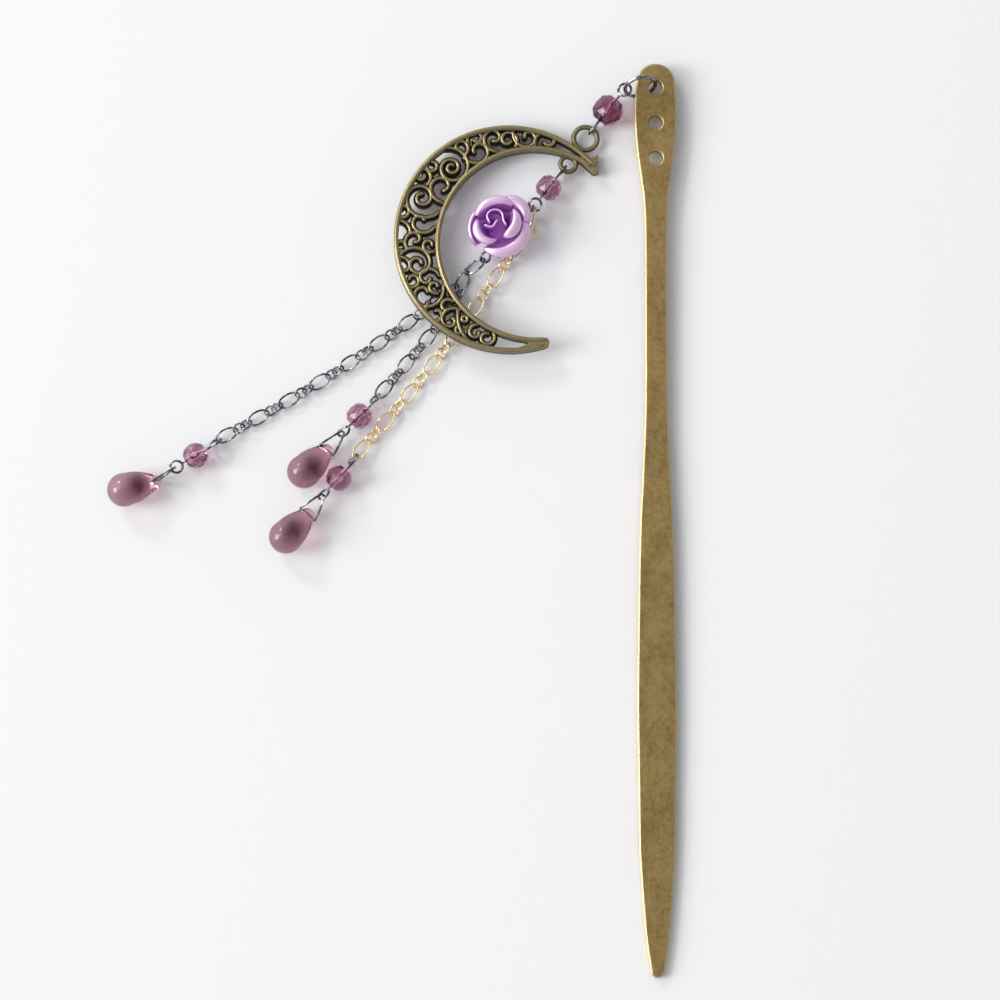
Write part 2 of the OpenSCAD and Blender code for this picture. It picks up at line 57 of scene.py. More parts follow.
# Vertices that are closer than this are one
MERGE_GAP = 0.0005 * MM


def linear(share):
    """The light that one part of a screen colour stands for."""
    return share / 12.92 if share <= 0.04045 else ((share + 0.055) / 1.055) ** 2.4


def paint(code):
    """Linear red, green and blue of a colour written in hexadecimal."""
    return tuple(linear(int(code[i : i + 2], 16) / 255) for i in (0, 2, 4))


def colour_property(name, description, code):
    """A colour that a user can change."""
    return bpy.props.FloatVectorProperty(
        name=name, description=description, subtype="COLOR", size=3, min=0, max=1, default=paint(code)
    )


def length_property(name, description, millimetres):
    """A length that a user can change, kept in metres."""
    return bpy.props.FloatProperty(
        name=name, description=description, unit="LENGTH", subtype="DISTANCE", default=millimetres * MM
    )


def depth_property(name, per_metre):
    """How fast a user wants glass to darken with its thickness, per metre."""
    return bpy.props.FloatProperty(
        name=name, description="Darkening of the glass, per metre", min=0, default=per_metre
    )


class StickFinish(bpy.types.PropertyGroup):
    """Aged brass of the stick."""

    brass: colour_property("Brass", "Colour of the rubbed brass", "BA9F69")
    patina: colour_property("Patina", "Colour of the darker, aged patches", "7E6840")
    # Edge colour: partly polish from wear, partly a painted highlight along every rounded edge
    edge: colour_property("Edge", "Colour of the edges that wear has polished", "EFDDA6")
    edge_round: length_property("Edge rounding", "How far the light runs round an edge", 0.29)


class CrescentFinish(bpy.types.PropertyGroup):
    """Cast crescent: rubbed tops over dark ground."""

    top: colour_property("Top", "Colour of the rubbed tops of rims and scrolls", "B4A57C")
    olive: colour_property("Olive", "Colour of the olive brown specks on the tops", "7D6F3E")
    # Painted highlight, partly edge wear, on the upper edges of rims and scrolls
    edge: colour_property("Edge", "Colour of the brightest edges", "E3D49C")
    recess: colour_property("Recess", "Colour of the blackened ground", "14141A")
    scroll_width: length_property("Scroll width", "Width of a scroll's rounded line", 0.46)
    scroll_rise: length_property("Scroll rise", "Height of the rounded line over the casting", 0.16)
    rim_width: length_property("Rim width", "Width of a rim's rounded line", 0.62)
    rim_rise: length_property("Rim rise", "Height of the rounded rim over the casting", 0.2)
    edge_round: length_property("Edge rounding", "How far the light runs round an edge", 0.16)


class WireFinish(bpy.types.PropertyGroup):
    """Dark and gold wire of pins, links and rings."""

    dark: colour_property("Dark", "Colour of the blackened nickel", "56575C")
    # Pale patches on the dark nickel: partly wear, partly painted highlights
    dark_wear_and_highlight: colour_property("Rubbed dark", "Colour of the blackened nickel where it rubs", "CDCDD1")
    bright: colour_property("Bright", "Colour of the bright nickel ring", "85868B")
    # Pale patches on the bright ring: partly wear, partly painted highlights
    bright_wear_and_highlight: colour_property("Rubbed bright", "Colour of the bright ring where it rubs", "E6E6E8")
    gold: colour_property("Gold", "Colour of the plated chain", "FFEDC4")
    gold_warm: colour_property("Warm gold", "Colour of the warmer patches of the gold", "EABB6E")
    swell: length_property("Swell", "How much the coarse wire grows before it is rounded", 0.018)


class RoseShape(bpy.types.PropertyGroup):
    """Rose of rolled metal petals."""

    # Painted highlight: this colour goes on faces that face up, most of all high up
    light: colour_property("Light", "Colour of the satin lips of the petals", "F5D3F6")
    wall: colour_property("Wall", "Colour of the petals' walls high up", "DA9AE8")
    # Painted shade: this colour goes low down between the petals, fading to the wall colour higher up
    deep: colour_property("Deep", "Colour down between the petals", "C276D8")
    thickness: length_property("Thickness", "Thickness of a petal", 0.26)


class GlassFinish(bpy.types.PropertyGroup):
    """Violet glass of beads and drops."""

    tint: colour_property("Tint", "Colour that the clear glass takes at its surface", "F1E2EA")
    bead: colour_property("Bead", "Colour that is left deep in the cut glass", "DA5CAE")
    drop: colour_property("Drop", "Colour that is left deep in the smooth glass", "F482AA")
    # Painted shade: colour of a dark patch painted inside each drop
    streak: colour_property("Streak", "Colour of the darker streak inside a drop", "45153A")
    # Painted shade on one side of the top bead
    shadow: colour_property("Shadow", "Colour of the dark side of the top bead", "33204A")
    top_depth: depth_property("Top bead depth", 370)
    bead_depth: depth_property("Bead depth", 215)
    drop_depth: depth_property("Drop depth", 96)
    facet_round: length_property("Facet rounding", "Width of the soft edges between facets", 0.09)


class StageSetting(bpy.types.PropertyGroup):
    """Floor, lights and camera."""

    floor: colour_property("Floor", "Colour of the paper floor", "F4F4F6")
    fleck: colour_property("Fleck", "Colour of the faint clouds in the paper", "D8DAE2")
    distance: length_property("Distance", "Distance from the camera to the table", 500)
    elevation: bpy.props.FloatProperty(
        name="Elevation", description="Height of the camera's line over the table", subtype="ANGLE",
        default=math.radians(84.1),
    )
    lens: bpy.props.FloatProperty(
        name="Lens", description="Focal length in millimetres", default=115.67, min=10, max=300
    )


class Value:
    """A socket in a finish, on which sums are written as on a number."""

    def __init__(self, finish, socket):
        self.finish = finish
        self.socket = socket

    def combined(self, operation, first, second):
        """One sum of two values or numbers."""
        node = self.finish.node("ShaderNodeMath", {"operation": operation}, {0: first, 1: second})
        return Value(self.finish, node.outputs[0])

    def __add__(self, other):
        return self.combined("ADD", self, other)

    def __radd__(self, other):
        return self.combined("ADD", other, self)

    def __sub__(self, other):
        return self.combined("SUBTRACT", self, other)

    def __rsub__(self, other):
        return self.combined("SUBTRACT", other, self)

    def __mul__(self, other):
        return self.combined("MULTIPLY", self, other)

    def __rmul__(self, other):
        return self.combined("MULTIPLY", other, self)

    def between(self, low, high):
        """0 below low and 1 above high, smooth on the way."""
        node = self.finish.node(
            "ShaderNodeMapRange",
            {"interpolation_type": "SMOOTHSTEP"},
            {"Value": self, "From Min": low, "From Max": high},
        )
        return Value(self.finish, node.outputs[0])


class Recipe:
    """A tree of nodes, and the one way in which its nodes are made."""

    def __init__(self, tree, place):
        self.tree = tree
        self.tree.nodes.clear()
        self.place = self.out("ShaderNodeTexCoord", output=place)

    def node(self, kind, settings=None, sockets=None):
        """A node of one type: first its settings, then the numbers and links of its sockets."""
        made = self.tree.nodes.new(kind)
        for name, value in (settings or {}).items():
            setattr(made, name, value)
        for name, value in (sockets or {}).items():
            if isinstance(value, Value):
                self.tree.links.new(value.socket, made.inputs[name])
            else:
                made.inputs[name].default_value = value
        return made

    def out(self, kind, settings=None, sockets=None, output=0):
        """One output of a new node."""
        return Value(self, self.node(kind, settings, sockets).outputs[output])

    def mix(self, factor, first, second):
        """A colour between two colours."""
        first = first if isinstance(first, Value) else (*first, 1)
        second = second if isinstance(second, Value) else (*second, 1)
        return self.out("ShaderNodeMix", {"data_type": "RGBA"}, {0: factor, 6: first, 7: second}, 2)

    def from_vectors(self, operation, first, second):
        """The number that an operation makes of two vectors."""
        return self.out("ShaderNodeVectorMath", {"operation": operation}, {0: first, 1: second}, "Value")

    def along(self, vector, way):
        """How far a vector reaches along a direction."""
        return self.from_vectors("DOT_PRODUCT", vector, way)


class Finish(Recipe):
    """A material of this object."""

    def __init__(self, name):
        self.material = bpy.data.materials.new(name)
        self.material.use_nodes = True
        super().__init__(self.material.node_tree, "Object")

    def noise(self, scale, detail, roughness):
        """Noise from 0 to 1, with scale features per metre, or with a number for each axis."""
        scales = scale if isinstance(scale, tuple) else (scale, scale, scale)
        stretched = self.out("ShaderNodeMapping", None, {"Vector": self.place, "Scale": scales})
        sockets = {"Vector": stretched, "Scale": 1, "Detail": detail, "Roughness": roughness}
        return self.out("ShaderNodeTexNoise", None, sockets)

    def away(self, point):
        """Distance from a point, in metres."""
        return self.from_vectors("DISTANCE", self.place, point)

    def rounded(self, radius):
        """The normal as if each edge were rounded."""
        return self.out("ShaderNodeBevel", {"samples": 6}, {"Radius": radius})

    def flat_normal(self):
        """The normal of the surface as it is."""
        return self.out("ShaderNodeNewGeometry", output="Normal")

    def edge_wear_and_highlight(self, soft, low, high):
        """1 at the edges, where a rounded normal leaves the flat one, and 0 on the faces."""
        return (1 - self.along(self.flat_normal(), soft)).between(low, high)

    def bump(self, height, distance, normal=None):
        """A normal that follows a height, which is 0 to 1 of a distance in metres."""
        sockets = {"Height": height, "Distance": distance, "Strength": 1}
        if normal is not None:
            sockets["Normal"] = normal
        return self.out("ShaderNodeBump", None, sockets)

    def surface(self, colour, metallic, roughness, normal=None, more=None):
        """Ends the finish in a Principled shader, with more of its sockets by name if wanted."""
        sockets = {"Base Color": colour, "Metallic": metallic, "Roughness": roughness}
        if normal is not None:
            sockets["Normal"] = normal
        shader = self.node("ShaderNodeBsdfPrincipled", None, {**sockets, **(more or {})})
        self.end = self.node("ShaderNodeOutputMaterial")
        self.tree.links.new(shader.outputs[0], self.end.inputs["Surface"])
        return self.material


def dress(piece, material):
    """Gives a piece or a carried-over node one material."""
    piece.data.materials.clear()
    piece.data.materials.append(material)


def node_object(name):
    """The object of a CAD node."""
    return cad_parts[name]


def object_from(bm, name):
    """Makes a mesh object of a finished bmesh."""
    mesh = bpy.data.meshes.new(name)
    bm.to_mesh(mesh)
    bm.free()
    made = bpy.data.objects.new(name, mesh)
    bpy.context.scene.collection.objects.link(made)
    return made


def piece_from(bm, name, material, node=None, smooth=True):
    """Makes a piece of a finished bmesh, and says which CAD node it replaces, if any."""
    for face in bm.faces:
        face.smooth = smooth
    piece = object_from(bm, name)
    dress(piece, material)
    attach(piece, BODY)
    if node is not None:
        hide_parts(node)
    return piece


def merged_copy(node):
    """A bmesh of a CAD node whose loose triangles are joined into their flat faces."""
    bm = bmesh.new()
    bm.from_mesh(node_object(node).data)
    bmesh.ops.remove_doubles(bm, verts=bm.verts, dist=MERGE_GAP)
    return bm


def loose_parts(bm):
    """The vertices of each loose part."""
    left = set(bm.verts)
    parts = []
    for first in bm.verts:
        if first not in left:
            continue
        left.discard(first)
        part = [first]
        for vert in part:
            near = [edge.other_vert(vert) for edge in vert.link_edges]
            found = [other for other in near if other in left]
            left.difference_update(found)
            part.extend(found)
        parts.append(part)
    return parts


def soften(piece):
    """Rounds a piece by subdividing it twice."""
    rounding = piece.modifiers.new("Round", "SUBSURF")
    rounding.levels = rounding.render_levels = 2


def extruded(bm, edges):
    """Extrudes edges, and gives the new vertices and the new edges between them."""
    grown = bmesh.ops.extrude_edge_only(bm, edges=edges)["geom"]
    verts = [part for part in grown if isinstance(part, bmesh.types.BMVert)]
    new_edges = [part for part in grown if isinstance(part, bmesh.types.BMEdge)]
    return verts, [edge for edge in new_edges if all(vert in verts for vert in edge.verts)]


# A link of six-sided wire has fewer vertices than this, and an exact ring has more
COARSE_VERTS = 400
# Triangles that meet at less than this are one side of the wire
SIDE_ANGLE = math.radians(14)


def keep_parts(bm, coarse):
    """Keeps only the six-sided links, or only the exact rings."""
    spare = [part for part in loose_parts(bm) if (len(part) < COARSE_VERTS) != coarse]
    bmesh.ops.delete(bm, geom=[vert for part in spare for vert in part], context="VERTS")


def round_wire(node, name, material, swell, ring_name):
    """Rounded copies of a node's six-sided links, which replace it, and its exact rings unchanged."""
    if ring_name:
        rings = merged_copy(node)
        keep_parts(rings, coarse=False)
        piece_from(rings, ring_name, material)
    bm = merged_copy(node)
    keep_parts(bm, coarse=True)
    bmesh.ops.join_triangles(
        bm, faces=bm.faces, angle_face_threshold=SIDE_ANGLE, angle_shape_threshold=math.pi
    )
    piece = piece_from(bm, name, material, node)
    grow = piece.modifiers.new("Grow", "DISPLACE")
    grow.strength = swell
    grow.mid_level = 0
    soften(piece)


# Depths of the finest marks in each finish
STICK_MARKS = 0.011 * MM
CAST_GRAIN = 0.015 * MM
WIRE_GRAIN = 0.004 * MM
ENAMEL_GRAIN = 0.006 * MM
GLASS_RIPPLE = 0.02 * MM


def stick_brass(setting):
    """Satin brass with a faint brown mottle, fine scratches along the stick, and bright edges that are
    partly worn and partly a painted highlight.
    """
    made = Finish("aged_brass")
    soft = made.rounded(setting.edge_round)
    worn = made.edge_wear_and_highlight(soft, 0.012, 0.13)
    patches = made.noise((260, 170, 260), 5, 0.6)
    mottle = made.noise((1500, 1300, 1500), 4, 0.65)
    scratches = made.noise((7000, 240, 7000), 2, 0.5)
    pits = made.noise((5200, 4600, 5200), 2, 0.5)
    clouded = patches.between(0.36, 0.7) * 0.5 + mottle.between(0.4, 0.72) * 0.4
    aged = clouded + pits.between(0.6, 0.74) * 0.35 + scratches.between(0.52, 0.74) * 0.12
    body = made.mix(aged, setting.brass, setting.patina)
    # Painted highlight, partly wear: the pale edge colour along every rounded edge
    colour = made.mix(worn, body, setting.edge)
    roughness = 0.4 + patches * 0.14 - worn * 0.12
    normal = made.bump(scratches * 0.35 + mottle * 0.35 + pits * 0.3, STICK_MARKS, soft)
    return made.surface(colour, 1.0, roughness, normal)


# Crescent, in its own plane: two circles, and the height of its rims
MOON_R = 18.1
INNER_AT = Vector((4, -0.82))
INNER_R = 14.9
RIM_TOP = 1.8
# How it lies: the tip of its upper horn and its middle, and its tilt about that tip
MOON_TIP = Vector((32.7, 54, 0.35)) * MM
MOON_MIDDLE = Vector((18.3, 42.75, 0.35)) * MM
MOON_SLOPE = Matrix.Rotation(math.radians(3.4), 4, Vector((-0.72, 0.69, 0)))
MOON_FRAME = Matrix.Translation(MOON_TIP) @ MOON_SLOPE @ Matrix.Translation(MOON_MIDDLE - MOON_TIP)
# Heights in the casting up to which it is black, and from which it is rubbed
BLACK_UP_TO = 1.14
RUBBED_FROM = 1.42
# A point this near the outer or inner circle is on a wall, and one as far off as the fades isn't
WALL_NEAR = 0.05
OUTER_FADE = 0.25
INNER_FADE = 0.2
# Height at which the walls start to be rubbed
WALL_RUBBED_FROM = 0.4


def crescent_bronze(setting):
    """Rubbed bronze on the tops of rims and scrolls with a painted highlight on their upper edges, darker
    on the walls and black in the ground.
    """
    made = Finish("rubbed_bronze")
    up = MOON_SLOPE @ Vector((0, 0, 1))
    soft = made.rounded(setting.edge_round)
    height = made.along(made.place, up) - MOON_TIP.dot(up)
    grime = made.noise(900, 4, 0.6)
    fine = made.noise(5200, 2, 0.5)
    high = height.between(BLACK_UP_TO * MM, RUBBED_FROM * MM)
    upper = high * made.along(soft, up).between(0.3, 0.9)
    lower = made.along(made.flat_normal(), -up).between(0.7, 0.95) * 0.85
    middle = Vector((0, 0, RIM_TOP / 2))
    from_middle = made.away(MOON_FRAME @ (middle * MM))
    outside = from_middle.between((MOON_R - OUTER_FADE) * MM, (MOON_R - WALL_NEAR) * MM)
    from_hollow = made.away(MOON_FRAME @ ((middle + INNER_AT.to_3d()) * MM))
    inside = 1 - from_hollow.between((INNER_R + WALL_NEAR) * MM, (INNER_R + INNER_FADE) * MM)
    wall_share = 0.1 + height.between(WALL_RUBBED_FROM * MM, RIM_TOP * MM) * 0.34
    walls = (outside + inside) * (1 - upper - lower) * wall_share
    rubbed = (upper + lower + walls) * (1 - grime.between(0.56, 0.78) * 0.4)
    top = made.mix(fine.between(0.35, 0.7) * 0.45, setting.top, setting.olive)
    # Painted highlight: the edge colour on the rounded edges of the rubbed tops
    bright = made.mix(made.edge_wear_and_highlight(soft, 0.01, 0.14) * upper * 0.7, top, setting.edge)
    colour = made.mix(rubbed, setting.recess, bright)
    roughness = 0.36 + grime * 0.16 - rubbed * 0.06
    normal = made.bump(fine * 0.5 + grime * 0.5, CAST_GRAIN, soft)
    return made.surface(colour, 0.55 + rubbed * 0.45, roughness, normal)


def bright_wire(made, patches, share, plain, second, grain):
    """Ends a finish in drawn wire, plain with patches of a second colour and a fine grain."""
    colour = made.mix(share, plain, second)
    return made.surface(colour, 1.0, 0.1 + patches * 0.12, made.bump(grain, WIRE_GRAIN))


def nickel_wire(name, plain, rubbed):
    """Nickel wire with silvery patches where it rubs, which also serve as painted highlights."""
    made = Finish(name)
    worn = made.noise(900, 3, 0.6)
    # Painted highlight, partly wear: random pale patches on the wire
    return bright_wire(made, worn, worn.between(0.43, 0.65), plain, rubbed, made.noise(6000, 2, 0.5))


def gold_wire(setting):
    """Bright gold plating with warmer patches."""
    made = Finish("gold_plate")
    tone = made.noise(700, 3, 0.6)
    warm = tone.between(0.45, 0.7) * 0.6
    return bright_wire(made, tone, warm, setting.gold, setting.gold_warm, made.noise(5200, 2, 0.5))


# Heights over the table between which the rose turns from painted shade to its lighter colours, low and
# high
ROSE_SHADE_HEIGHTS = (2.3, 5.6)


def rose_enamel(setting):
    """Dyed satin metal: violet, with a painted highlight on faces that face up and painted shade low down
    between the petals.
    """
    made = Finish("lilac_metal")
    height = made.out("ShaderNodeSeparateXYZ", None, {0: made.place}, 2)
    tone = made.noise(520, 3, 0.55)
    streak = made.noise((1500, 1500, 260), 3, 0.5)
    grain = made.noise(7000, 2, 0.5)
    # Painted highlight on faces that face up, and painted shade lower down
    lip = made.along(made.flat_normal(), (0, 0, 1)).between(0.1, 0.85)
    high = height.between(*(limit * MM for limit in ROSE_SHADE_HEIGHTS))
    pale = lip * (high * 0.82 + 0.18) + tone * 0.24 - 0.08
    colour = made.mix(pale, made.mix(high, setting.deep, setting.wall), setting.light)
    roughness = 0.27 + tone * 0.12 + streak * 0.06
    return made.surface(colour, 0.6, roughness, made.bump(grain + tone * 2, ENAMEL_GRAIN))


# Distances from the middle of the painted shade at which the glass is fully dark and has its own colour
# again
PAINTED_SHADE_REACH = (1.2, 3.2)


def violet_glass(name, tint, deep, depth, roughness, streak=None, painted_shade_at=None):
    """Coloured glass that is darker where it is thicker, with painted shade darkening it round one place
    if wanted.
    """
    made = Finish(name)
    cloud = made.noise(500, 3, 0.6)
    shade = made.mix(cloud.between(0.4, 0.75) * 0.4, tint, [part * 0.9 for part in tint])
    if streak is not None:
        # Painted shade: the glass's colour darkens towards one point
        reach = made.away(painted_shade_at) + cloud * 0.9 * MM
        near = 1 - reach.between(*(distance * MM for distance in PAINTED_SHADE_REACH))
        shade = made.mix(near, shade, streak)
    normal = made.bump(made.noise(260, 2, 0.5), GLASS_RIPPLE)
    material = made.surface(
        shade, 0.0, roughness + cloud * 0.02, normal, {"IOR": 1.5, "Transmission Weight": 1.0}
    )
    body = made.node("ShaderNodeVolumeAbsorption", None, {"Color": (*deep, 1), "Density": depth})
    made.tree.links.new(body.outputs[0], made.end.inputs["Volume"])
    return material


# Rounded lines on the crescent: sides, how deep they sit in the casting, share of their width that is
# left at an end, and the fewest points that make one
LINE_SIDES = 8
LINE_SUNK = 0.06
LINE_END = 0.55
LINE_POINTS = 4


def sweep(bm, path, widths, height):
    """Extrudes an oval ring along a path in the crescent's plane, and closes both ends."""

    def oval(i):
        """Where the ring lies at one point of the path."""
        way = (path[min(i + 1, len(path) - 1)] - path[max(i - 1, 0)]).normalized()
        up = Vector((0, 0, 1))
        turn = Matrix((way.cross(up), up, way)).transposed().to_4x4()
        return Matrix.Translation(path[i]) @ turn @ Matrix.Diagonal((widths[i] / 2, height, 1, 1))

    start = bmesh.ops.create_circle(bm, segments=LINE_SIDES, radius=1, matrix=oval(0))["verts"]
    first = edges = list({edge for vert in start for edge in vert.link_edges})
    for i in range(1, len(path)):
        ring, edges = extruded(bm, edges)
        bmesh.ops.transform(bm, matrix=oval(i) @ oval(i - 1).inverted(), verts=ring)
    bmesh.ops.contextual_create(bm, geom=first)
    bmesh.ops.contextual_create(bm, geom=edges)


# Scrolls. columns: eye x, eye y, outer radius, inner radius, start angle, turn (plus is anticlockwise).
# A line spirals in from its outer to its inner radius
SCROLLS = (
    (-9.1, 11.3, 3.4, 0.5, 110, -765),
    (-12.1, 11.6, 1.05, 0.6, 165, 290),
    (-13.8, 10, 1.7, 0.45, -56, 424),
    (-10.5, 8.3, 2.6, 0.7, 270, -347),
    (-7.8, 14.7, 1.6, 0.55, -60, 275),
    (-5.2, 16.1, 1.55, 0.5, 207, -332),
    (-4.9, 14.1, 2.5, 0.75, 208, 350),
    (-2.4, 16.2, 2.3, 0.55, 281, -390),
    (-0.3, 15.9, 1.65, 0.6, -39, 367),
    (2.9, 16.4, 2.7, 0.52, 143, 400),
    (6, 15.8, 2.2, 0.6, 202, -345),
    (-13.7, 6.45, 3.65, 0.65, -39, -590),
    (-16.6, 4.5, 1.4, 0.45, 241, 275),
    (-13.9, 2.7, 2.45, 0.6, -23, -309),
    (-17.4, 0.9, 1.9, 1.9, 100, -105),
    (-14.7, -0.2, 2, 0.42, 229, -320),
    (-17.2, -1.6, 1.2, 0.35, 50, 250),
    (-12.6, -1.1, 1.25, 0.55, -55, -300),
    (-14.4, -4.1, 3.15, 0.7, 162, -509),
    (-16.6, -4.6, 1.6, 0.45, 108, -280),
    (-15.1, -6.7, 1.35, 0.6, 212, 310),
    (-12.9, -6.4, 2.05, 0.5, 15, 340),
    (-13.4, -8.8, 3.35, 0.72, 23, -352),
    (-11.7, -7.7, 1.1, 0.5, -69, -275),
    (-11.4, -12, 2.2, 0.5, 125, 335),
    (-9.8, -10.8, 1.25, 0.57, 45, 240),
    (-9.2, -13.1, 2.3, 0.5, 52, 360),
    (-2.6, -13.1, 5.7, 5, 163, 55),
    (-7, -12.8, 0.5, 0.4, 90, 330),
    (-7.9, -14.6, 0.6, 0.5, 110, 230),
    (-5.3, -15, 1.42, 0.47, 78, 292),
    (-3.6, -15.75, 1.33, 0.72, 36, -320),
)
SCROLL_TOP = 1.5
# Degrees between two points of a scroll's line
SCROLL_STEP = 12
# Width of a rim, and how far from the crescent's edges a scroll's line and a rim's line end
RIM = 0.72
SCROLL_GAP = 0.3 * RIM
RIM_GAP = 0.45 * RIM


def scroll_path(row):
    """Points of one scroll's line, in millimetres, kept between the two rims."""
    x, y, outer, inner, start, turn = row
    count = max(8, math.ceil(abs(turn) / SCROLL_STEP))
    points = []
    for i in range(count + 1):
        share = i / count
        radius = outer * (inner / outer) ** share
        angle = math.radians(start + turn * share)
        point = Vector((x + radius * math.cos(angle), y + radius * math.sin(angle)))
        from_hollow = (point - INNER_AT).length
        if point.length < MOON_R - SCROLL_GAP and from_hollow > INNER_R + SCROLL_GAP:
            points.append(point)
        elif points:
            break
    return points


# Angles at which the line of each rim starts and ends, and its number of stretches
OUTER_RIM = (41, 287)
INNER_RIM = (55, 277)
RIM_STRETCHES = 96


def rim_path(middle, radius, span):
    """Points along one rim, in millimetres, from one horn to the other."""
    start, end = span
    shares = [i / RIM_STRETCHES for i in range(RIM_STRETCHES + 1)]
    angles = [math.radians(start + (end - start) * share) for share in shares]
    points = [middle + Vector((math.cos(angle), math.sin(angle))) * radius for angle in angles]
    return [point for point in points if point.length < MOON_R - RIM_GAP]


def add_line(bm, flat_path, top, width, rise):
    """One rounded line that lies on a flat top of the casting."""
    path = [Vector((point.x, point.y, top - LINE_SUNK)) for point in flat_path]
    if len(path) < LINE_POINTS:
        return
    widths = [width * LINE_END, *[width] * (len(path) - 2), width * LINE_END]
    sweep(bm, path, widths, rise + LINE_SUNK)


def add_scrolls(setting, material):
    """Rounded lines on top of the crescent's flat scrolls and rims."""
    bm = bmesh.new()
    for row in SCROLLS:
        add_line(bm, scroll_path(row), SCROLL_TOP, setting.scroll_width / MM, setting.scroll_rise / MM)
    outer = rim_path(Vector((0, 0)), MOON_R - 0.5 * RIM, OUTER_RIM)
    inner = rim_path(INNER_AT, INNER_R + 0.5 * RIM, INNER_RIM)
    for path in (outer, inner):
        add_line(bm, path, RIM_TOP, setting.rim_width / MM, setting.rim_rise / MM)
    bmesh.ops.recalc_face_normals(bm, faces=bm.faces)
    bmesh.ops.scale(bm, vec=(MM, MM, MM), verts=bm.verts)
    bmesh.ops.transform(bm, matrix=MOON_FRAME, verts=bm.verts)
    piece_from(bm, "scroll_lines", material)


ROSE_AT = Vector((16.85, 44.35, 1.25))
# Petals. columns: start angle, end angle, crest radius at start, middle and end, lip radius at start,
# middle and end, foot radius, height
PETALS = (
    (58, 156, 3.8, 3.5, 3.95, 4.5, 4.78, 4.5, 2.5, 4.85),
    (10, 88, 3.75, 4.2, 4.1, 4.7, 5.6, 4.6, 2.7, 4.3),
    (-128, 18, 3.95, 3.15, 3.55, 4.6, 4.9, 4.7, 2.6, 4.05),
    (134, 218, 4.15, 4.55, 4.5, 4.6, 5, 4.85, 3, 3.65),
    (160, 259, 3.55, 2.9, 1.95, 4, 4.1, 2.4, 1.8, 4.5),
    (-72, 54, 1.65, 1.5, 3.35, 2, 3.15, 3.6, 1.1, 4.95),
)
# Shape of a petal from foot to lip. columns: share of the way from foot to crest, share of the way from
# crest to lip, share of the height, drop below the crest
PETAL_RISE = (
    (0, 0, 0, 0),
    (0.5, 0, 0.36, 0),
    (0.86, 0, 0.74, 0),
    (1, 0, 1, 0.14),
    (1, 0.25, 1, 0),
    (1, 0.68, 1, 0.1),
    (1, 0.94, 1, 0.34),
    (1, 1, 1, 0.62),
)
PETAL_FOOT = 1.35
# Degrees between two points round a petal
PETAL_STEP = 9
# How much lower a petal is at its two ends, and the share of its lip that is missing there
PETAL_END_FALL = 0.9
PETAL_END_TRIM = 0.45
# Two strips of the heart, seen from above. columns: x, y
HEART_FRONT = ((-2.5, 0.17), (-1.9, -0.1), (-1.26, -0.28), (-0.9, 0.08), (-0.63, 0.62), (-0.28, 0.93))
HEART_BACK = (
    (-1.48, 0.26), (-1.97, 1.15), (-2.06, 1.75), (-1.5, 2.4), (-0.8, 2.55), (0.05, 2.4), (0.45, 1.75),
    (0.45, 0.95), (0.75, 0.35), (1.05, 0.1),
)
HEART_FOOT = 0.6
HEART_TOP = 5
HEART_STEPS = (0.5, 0.35, 0.15)
# How many petals thick the strips of the heart are
HEART_WALLS = 1.45
# Cup under the petals, spun round the rose's middle in steps. columns: radius, height
CUP_STEPS = 48
CUP = ((0, 0), (2, 0), (2.35, 0.8), (3, 1.7), (3.3, 2.4), (2.95, 2.35), (2.1, 1.6), (1, 1.1), (0, 1))


def through(values, share):
    """A smooth value through the start, the middle and the end."""
    start, middle, end = values
    outer = start * (1 - share) * (1 - 2 * share) + end * share * (2 * share - 1)
    return outer + middle * 4 * share * (1 - share)


def add_petal(bm, row):
    """One rolled petal: a flat grid, bent round the rose and up from its foot to its rolled lip."""
    start, end, *radii, foot, top = row
    around = max(8, round((end - start) / PETAL_STEP))
    outward = len(PETAL_RISE) - 1
    verts = bmesh.ops.create_grid(bm, x_segments=around, y_segments=outward, size=0.5)["verts"]
    for vert in verts:
        share = vert.co.x + 0.5
        out, lip, rise, drop = PETAL_RISE[round((vert.co.y + 0.5) * outward)]
        end_fade = abs(2 * share - 1) ** 5
        crest = through(radii[:3], share)
        rim = through(radii[3:], share)
        radius = foot + (crest - foot) * out + (rim - crest) * lip * (1 - PETAL_END_TRIM * end_fade)
        angle = math.radians(start + (end - start) * share)
        fall = PETAL_END_FALL * end_fade * rise * rise
        height = PETAL_FOOT + (top - PETAL_FOOT) * rise - drop - fall
        vert.co = (radius * math.cos(angle), radius * math.sin(angle), height)


def add_line_of_edges(bm, points):
    """Edges through points, and their vertices."""
    verts = [bm.verts.new(point) for point in points]
    return verts, [bm.edges.new(pair) for pair in zip(verts, verts[1:])]


def add_strip(bm, corners):
    """A thin upright strip of the heart, in steps that are finer towards its top edge."""
    edges = add_line_of_edges(bm, [(x, y, HEART_FOOT) for x, y in corners])[1]
    for share in HEART_STEPS:
        risen, edges = extruded(bm, edges)
        bmesh.ops.translate(bm, verts=risen, vec=(0, 0, (HEART_TOP - HEART_FOOT) * share))


def set_in_place(bm):
    """Sets a finished bmesh of the rose on the table, and turns it to metres."""
    bmesh.ops.translate(bm, verts=bm.verts, vec=ROSE_AT)
    bmesh.ops.scale(bm, vec=(MM, MM, MM), verts=bm.verts)


def placed_petals(bm, name, material, node, thickness):
    """Sets petals in their place, and gives them their wall."""
    set_in_place(bm)
    piece = piece_from(bm, name, material, node)
    wall = piece.modifiers.new("Wall", "SOLIDIFY")
    wall.thickness = thickness
    wall.offset = 0
    soften(piece)


def add_petals(setting, material):
    """The six rolled petals."""
    bm = bmesh.new()
    for row in PETALS:
        add_petal(bm, row)
    placed_petals(bm, "rose_petals", material, "rose", setting.thickness)


